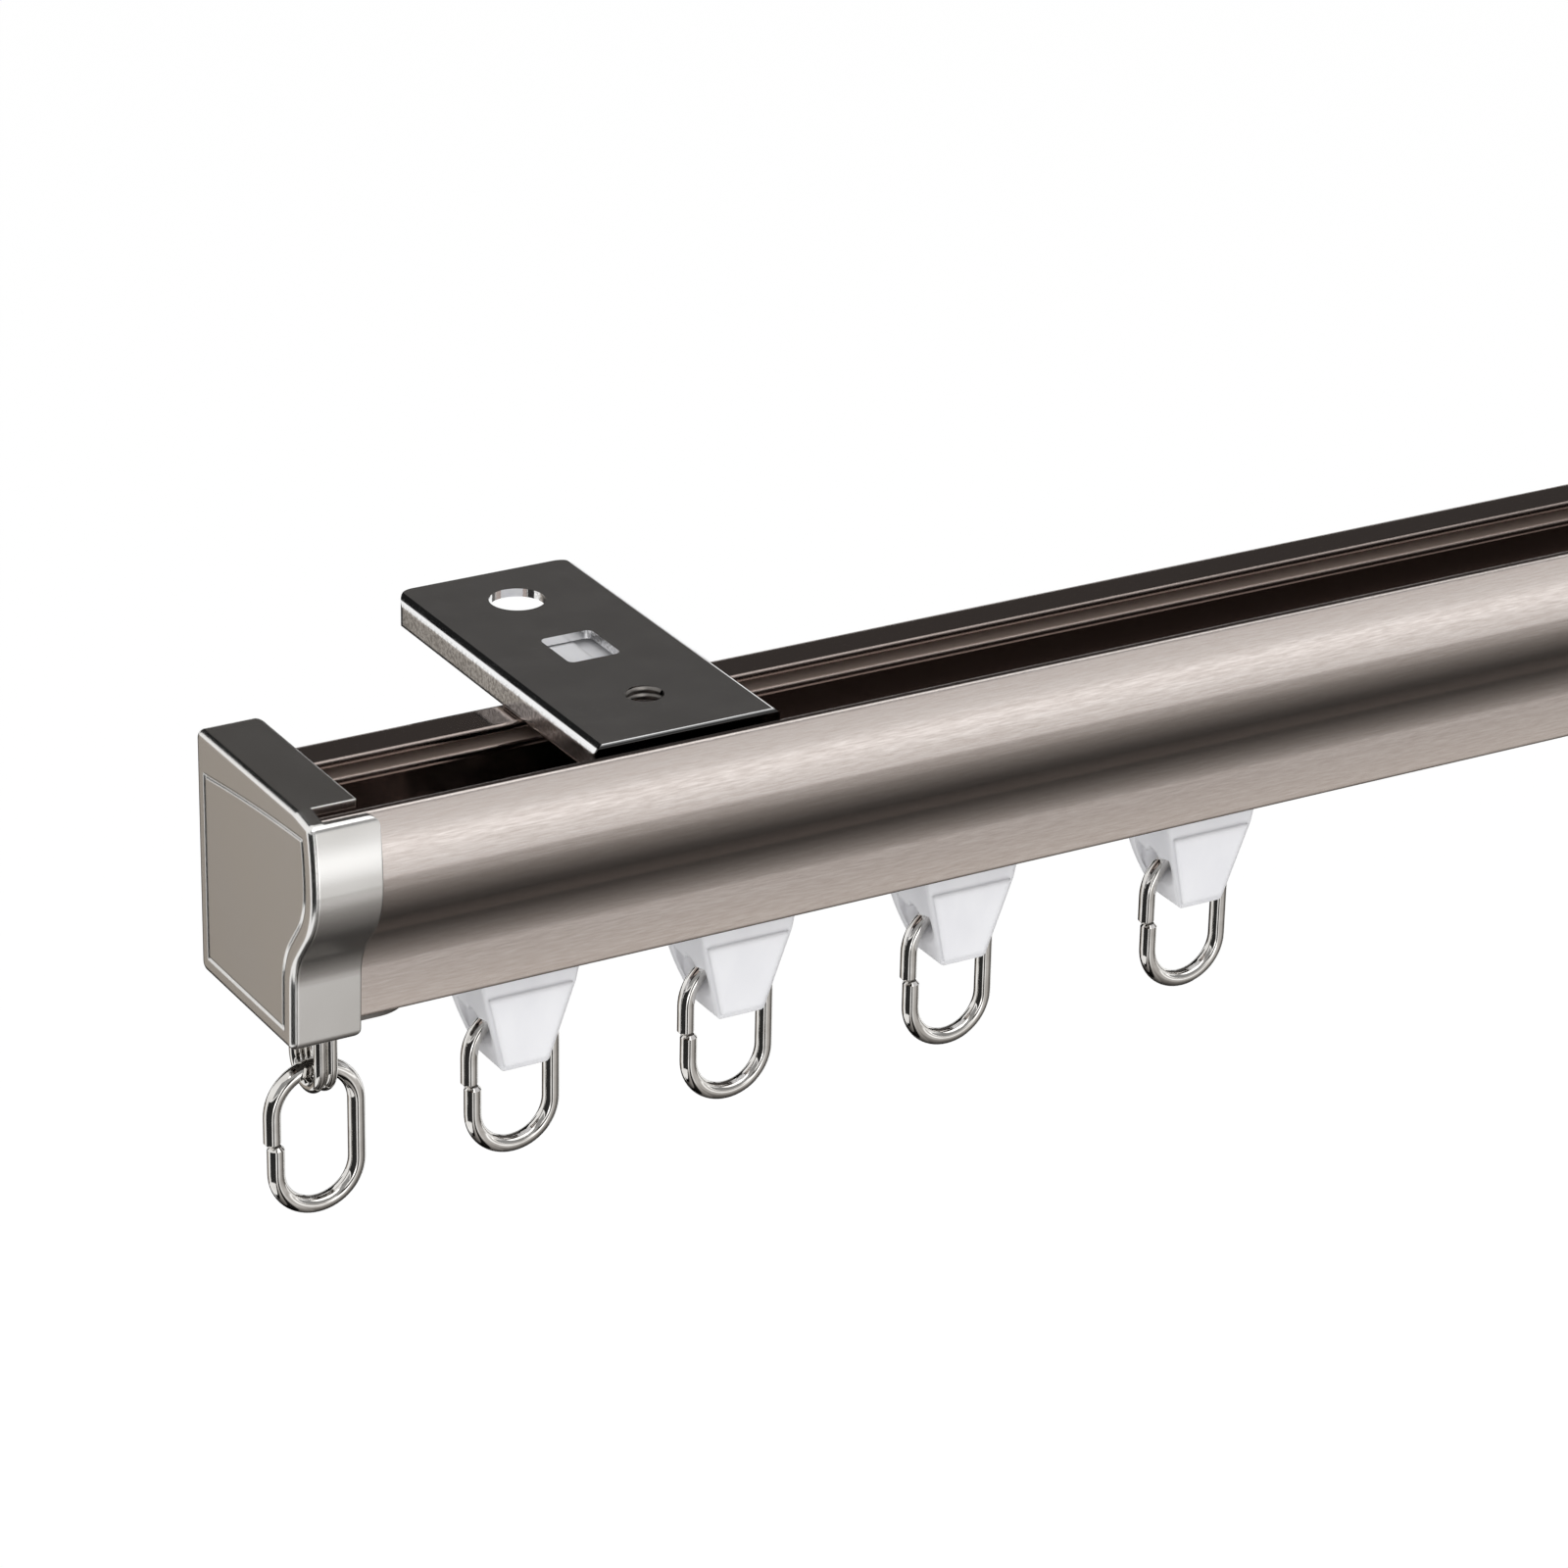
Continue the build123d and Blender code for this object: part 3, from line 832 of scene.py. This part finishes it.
@dataclass
class Runner:
    """One runner: its moulded body, ring, pin and wheels."""

    number: int
    finishes: Finishes

    def build(self) -> None:
        """Dress the runner's pieces."""
        dress(f"runner_{self.number}", {
            "_body": self.finishes.acetal,
            "_ring": self.finishes.nickel,
            "_axle": self.finishes.pin,
            "_front_wheel": self.finishes.wheel,
            "_back_wheel": self.finishes.wheel,
        })


def glow_material(name: str) -> bpy.types.Material:
    """Return a material that glows with the mesh's own "glow" colours.

    Args:
        name: the material's name.

    Returns:
        The material.
    """
    material = bpy.data.materials.new(name)
    material.use_nodes = True
    nodes, links = material.node_tree.nodes, material.node_tree.links
    nodes.remove(nodes["Principled BSDF"])
    glow = nodes.new("ShaderNodeEmission")
    colour = nodes.new("ShaderNodeAttribute")
    colour.attribute_name = "glow"
    links.new(colour.outputs["Color"], glow.inputs["Color"])
    links.new(glow.outputs["Emission"], nodes["Material Output"].inputs["Surface"])
    material.cycles.emission_sampling = "NONE"
    return material


def add_card(name: str, points: np.ndarray, colours: np.ndarray) -> None:
    """Add a glowing studio card that only reflections see.

    Args:
        name: the card's name.
        points: its points in metres, as rows of columns of three coordinates.
        colours: the colour at each point, in the same form.
    """
    card = add_grid(name, points, glow_material(name))
    glow = np.concatenate([colours, np.ones((*colours.shape[:2], 1))], axis=-1)
    card.data.attributes.new("glow", "FLOAT_COLOR", "POINT").data.foreach_set("color", glow.ravel())
    card.visible_camera = False
    card.visible_diffuse = False
    card.visible_shadow = False
    card.visible_transmission = False


@dataclass(frozen=True)
class Screen:
    """A studio screen: a patch of a sphere about the track's visible end.

    Attributes:
        name: its name.
        azimuths_deg: its two sides, clockwise from +Y as seen from above.
        elevations_deg: its lower and upper edge above the horizon.
        glow: its colour, where 1 is white.
        radius: its distance in metres.
        steps: points along each side.
    """

    name: str
    azimuths_deg: Pair
    elevations_deg: Pair
    glow: Colour
    radius: float = 1.2
    steps: int = 25

    def build(self) -> None:
        """Add the screen.

        A point at azimuth a and elevation e lies at the radius from the track's visible
        end, in the direction (sin a cos e, cos a cos e, sin e).
        """
        azimuth, elevation = np.meshgrid(np.radians(np.linspace(*self.azimuths_deg, self.steps)),
                                         np.radians(np.linspace(*self.elevations_deg, self.steps)),
                                         indexing="ij")
        out = np.stack([np.sin(azimuth) * np.cos(elevation), np.cos(azimuth) * np.cos(elevation),
                        np.sin(elevation)], axis=-1)
        points = out * self.radius + np.array(TRACK_END)
        add_card(self.name, points, np.broadcast_to(self.glow, points.shape))


@dataclass(frozen=True)
class Scoop:
    """A long curved card round the track's underside, graded from bright in front to dark behind.

    Attributes:
        radius: its radius in metres.
        middle: its axis along Y and Z.
        turns_deg: angles below the room-side horizon, at which the levels are given.
        levels: its brightness at those angles.
        under_turn_deg: the angle past which it is shorter.
        under_ends: its two ends there, along X.
        panels_x: places along X, at which the panels are given.
        panels: how many times brighter it is at those places.
        warmth: its colour where it is darkest.
        steps: points round it.
    """

    radius: float = 0.6
    middle: Pair = (-0.03, -0.015)
    turns_deg: tuple[float, ...] = (-8, 5, 10, 14, 19, 23, 28, 31, 34, 40, 47, 67, 88, 104, 130, 172)
    levels: tuple[float, ...] = (0.7, 0.7, 0.78, 1.42, 1.2, 0.64, 0.5, 0.57, 0.56, 0.44, 0.27, 0.15,
                                 0.068, 0.03, 0.035, 0.05)
    under_turn_deg: float = 110.0
    under_ends: Pair = (-0.5, 0.22)
    panels_x: tuple[float, ...] = (-0.62, -0.54, -0.52, -0.40, -0.38, -0.25, -0.23, -0.12, -0.10, 1.3)
    panels: tuple[float, ...] = (0.06, 0.06, 1.8, 1.8, 0.07, 0.07, 1.7, 1.7, 1.0, 1.0)
    warmth: Colour = (1.0, 0.93, 0.87)
    steps: int = 181

    def build(self) -> None:
        """Add the scoop.

        A point at turn t lies at the radius from the scoop's axis, in the direction
        (0, -cos t, -sin t). Its brightness is the level at that turn times the panel's at
        its place along X, and it takes on the warmth as it darkens.
        """
        turn, x = np.meshgrid(np.linspace(self.turns_deg[0], self.turns_deg[-1], self.steps),
                              np.array(self.panels_x), indexing="ij")
        level = (np.interp(turn, self.turns_deg, self.levels) * np.array(self.panels))[..., None]
        x = np.where(turn > self.under_turn_deg, np.clip(x, *self.under_ends), x)
        y = self.middle[0] - self.radius * np.cos(np.radians(turn))
        z = self.middle[1] - self.radius * np.sin(np.radians(turn))
        fade = np.clip(1.0 - level, 0.0, 1.0)
        colours = level * (1.0 - fade * (1.0 - np.array(self.warmth)))
        add_card("scoop", np.stack([x, y, z], axis=-1), colours)


@dataclass(frozen=True)
class Lamp:
    """A soft square lamp.

    Attributes:
        name: its name.
        place: its middle in metres.
        power: its power in watts.
        size: its side in metres.
        aim: the point that it shines at.
    """

    name: str
    place: Point
    power: float
    size: float = 0.8
    aim: Point = TRACK_END

    def build(self) -> None:
        """Add the lamp."""
        data = bpy.data.lights.new(self.name, "AREA")
        data.shape = "SQUARE"
        data.size = self.size
        data.energy = self.power
        lamp = bpy.data.objects.new(self.name, data)
        lamp.location = self.place
        towards = Vector(self.aim) - Vector(self.place)
        lamp.rotation_euler = towards.to_track_quat("-Z", "Y").to_euler()
        bpy.context.scene.collection.objects.link(lamp)


@dataclass
class Studio:
    """The world, the floor, the cards, the lamps and the camera.

    Attributes:
        ambient: the level at which the white world lights the scene.
        floor_drop: how far below the ceiling plane the floor lies.
        floor_half: half the floor's side.
        floor_glow: how much the floor glows, so that it shows white.
        floor_albedo: its own grey, which keeps a faint shadow.
        azimuth_deg: the way the camera looks, clockwise from +Y.
        elevation_deg: how far it looks down.
        roll_deg: how far it is turned about its own axis.
        distance: how far it stands from the target.
        target: the point in the middle of its picture.
        sensor_mm: its sensor's width.
        focal_share: its focal length as a share of that width.
        clip_start: the nearest that it sees.
        screens: the studio's screens.
        lamps: its lamps.
    """

    ambient: float = 0.62
    floor_drop: float = 0.75
    floor_half: float = 6.0
    floor_glow: float = 0.82
    floor_albedo: float = 0.28
    azimuth_deg: float = 30.32
    elevation_deg: float = 24.44
    roll_deg: float = 1.19
    distance: float = 0.632
    target: Point = (-241.27 * MM, -43.6 * MM, -8.09 * MM)
    sensor_mm: float = 36.0
    focal_share: float = 3.63
    clip_start: float = 0.01
    screens: tuple[Screen, ...] = (
        Screen("top_screen", (11.0, 85.0), (6.0, 58.0), (0.078, 0.074, 0.071)),
        Screen("roll_screen", (-29.0, 11.0), (6.0, 58.0), grey(0.012)),
        Screen("left_screen", (-47.0, -6.0), (-42.0, -8.0), (0.40, 0.36, 0.318)),
        Screen("left_post", (-150.0, -78.0), (-60.0, 4.0), grey(0.03)),
        Screen("overhead", (100.0, 200.0), (42.0, 80.0), grey(1.8)),
        Screen("room_screen", (112.0, 248.0), (8.0, 40.0), grey(0.32)),
    )
    lamps: tuple[Lamp, ...] = (
        Lamp("key", (-0.55, -1.1, 0.75), 6.0),
        Lamp("fill", (0.9, -0.9, 0.3), 1.5),
    )

    def world(self) -> None:
        """Make a white world that lights the scene at a lower level than it shows."""
        world = bpy.data.worlds.new("studio")
        bpy.context.scene.world = world
        world.use_nodes = True
        nodes, links = world.node_tree.nodes, world.node_tree.links
        shown, lighting = nodes["Background"], nodes.new("ShaderNodeBackground")
        shown.inputs["Color"].default_value = opaque(WHITE)
        lighting.inputs["Color"].default_value = opaque(grey(self.ambient))
        path = nodes.new("ShaderNodeLightPath")
        seen = path.outputs["Is Camera Ray"]
        for kind in ("Is Glossy Ray", "Is Transmission Ray"):
            either = nodes.new("ShaderNodeMath")
            either.operation = "MAXIMUM"
            links.new(seen, either.inputs[0])
            links.new(path.outputs[kind], either.inputs[1])
            seen = either.outputs["Value"]
        mix = nodes.new("ShaderNodeMixShader")
        links.new(seen, mix.inputs["Fac"])
        links.new(lighting.outputs["Background"], mix.inputs[1])
        links.new(shown.outputs["Background"], mix.inputs[2])
        links.new(mix.outputs["Shader"], nodes["World Output"].inputs["Surface"])
        world.cycles.sampling_method = "NONE"

    def floor(self) -> None:
        """Add a pale floor below the track that shows white and keeps a faint shadow."""
        half, drop = self.floor_half, -self.floor_drop
        mesh = bpy.data.meshes.new("floor")
        corners = [(-half, -half, drop), (half, -half, drop), (half, half, drop), (-half, half, drop)]
        mesh.from_pydata(corners, [], [(0, 1, 2, 3)])
        floor = bpy.data.objects.new("floor", mesh)
        bpy.context.scene.collection.objects.link(floor)
        tree = NodeTree("pale_floor")
        tree.set(Base_Color=opaque(grey(self.floor_albedo)), Roughness=1.0, Specular_IOR_Level=0.0)
        tree.set(Emission_Color=opaque(WHITE), Emission_Strength=self.floor_glow)
        tree.material.cycles.emission_sampling = "NONE"
        mesh.materials.append(tree.material)

    def camera(self) -> None:
        """Add the camera from its azimuth, elevation and roll about the target."""
        azimuth, elevation = math.radians(self.azimuth_deg), math.radians(self.elevation_deg)
        roll = math.radians(self.roll_deg)
        forward = Vector((math.sin(azimuth) * math.cos(elevation), math.cos(azimuth) * math.cos(elevation),
                          -math.sin(elevation)))
        level = Vector((math.cos(azimuth), -math.sin(azimuth), 0.0))
        upright = level.cross(forward)
        right = level * math.cos(roll) + upright * math.sin(roll)
        up = upright * math.cos(roll) - level * math.sin(roll)
        place = Vector(self.target) - forward * self.distance
        data = bpy.data.cameras.new("camera")
        data.sensor_width = self.sensor_mm
        data.lens = self.sensor_mm * self.focal_share
        data.clip_start = self.clip_start
        camera = bpy.data.objects.new("camera", data)
        bpy.context.scene.collection.objects.link(camera)
        camera.matrix_world = Matrix((
            (right.x, up.x, -forward.x, place.x),
            (right.y, up.y, -forward.y, place.y),
            (right.z, up.z, -forward.z, place.z),
            (0.0, 0.0, 0.0, 1.0),
        ))
        bpy.context.scene.camera = camera

    def build(self) -> None:
        """Build the whole studio."""
        bpy.context.scene.view_settings.view_transform = "Standard"
        self.world()
        self.floor()
        self.camera()
        Scoop().build()
        for stage_piece in (*self.screens, *self.lamps):
            stage_piece.build()


def main() -> None:
    """Dress every node, add the threads and build the studio."""
    finishes = Finishes()
    Rail(finishes).build()
    for side in Side:
        EndStop(side, finishes).build()
        Bracket(side, finishes).build()
    for number in range(1, RUNNERS + 1):
        Runner(number, finishes).build()
    Studio().build()
    LOG.info("sizes written")


if __name__ == "__main__":
    logging.basicConfig(level=logging.INFO)
    main()
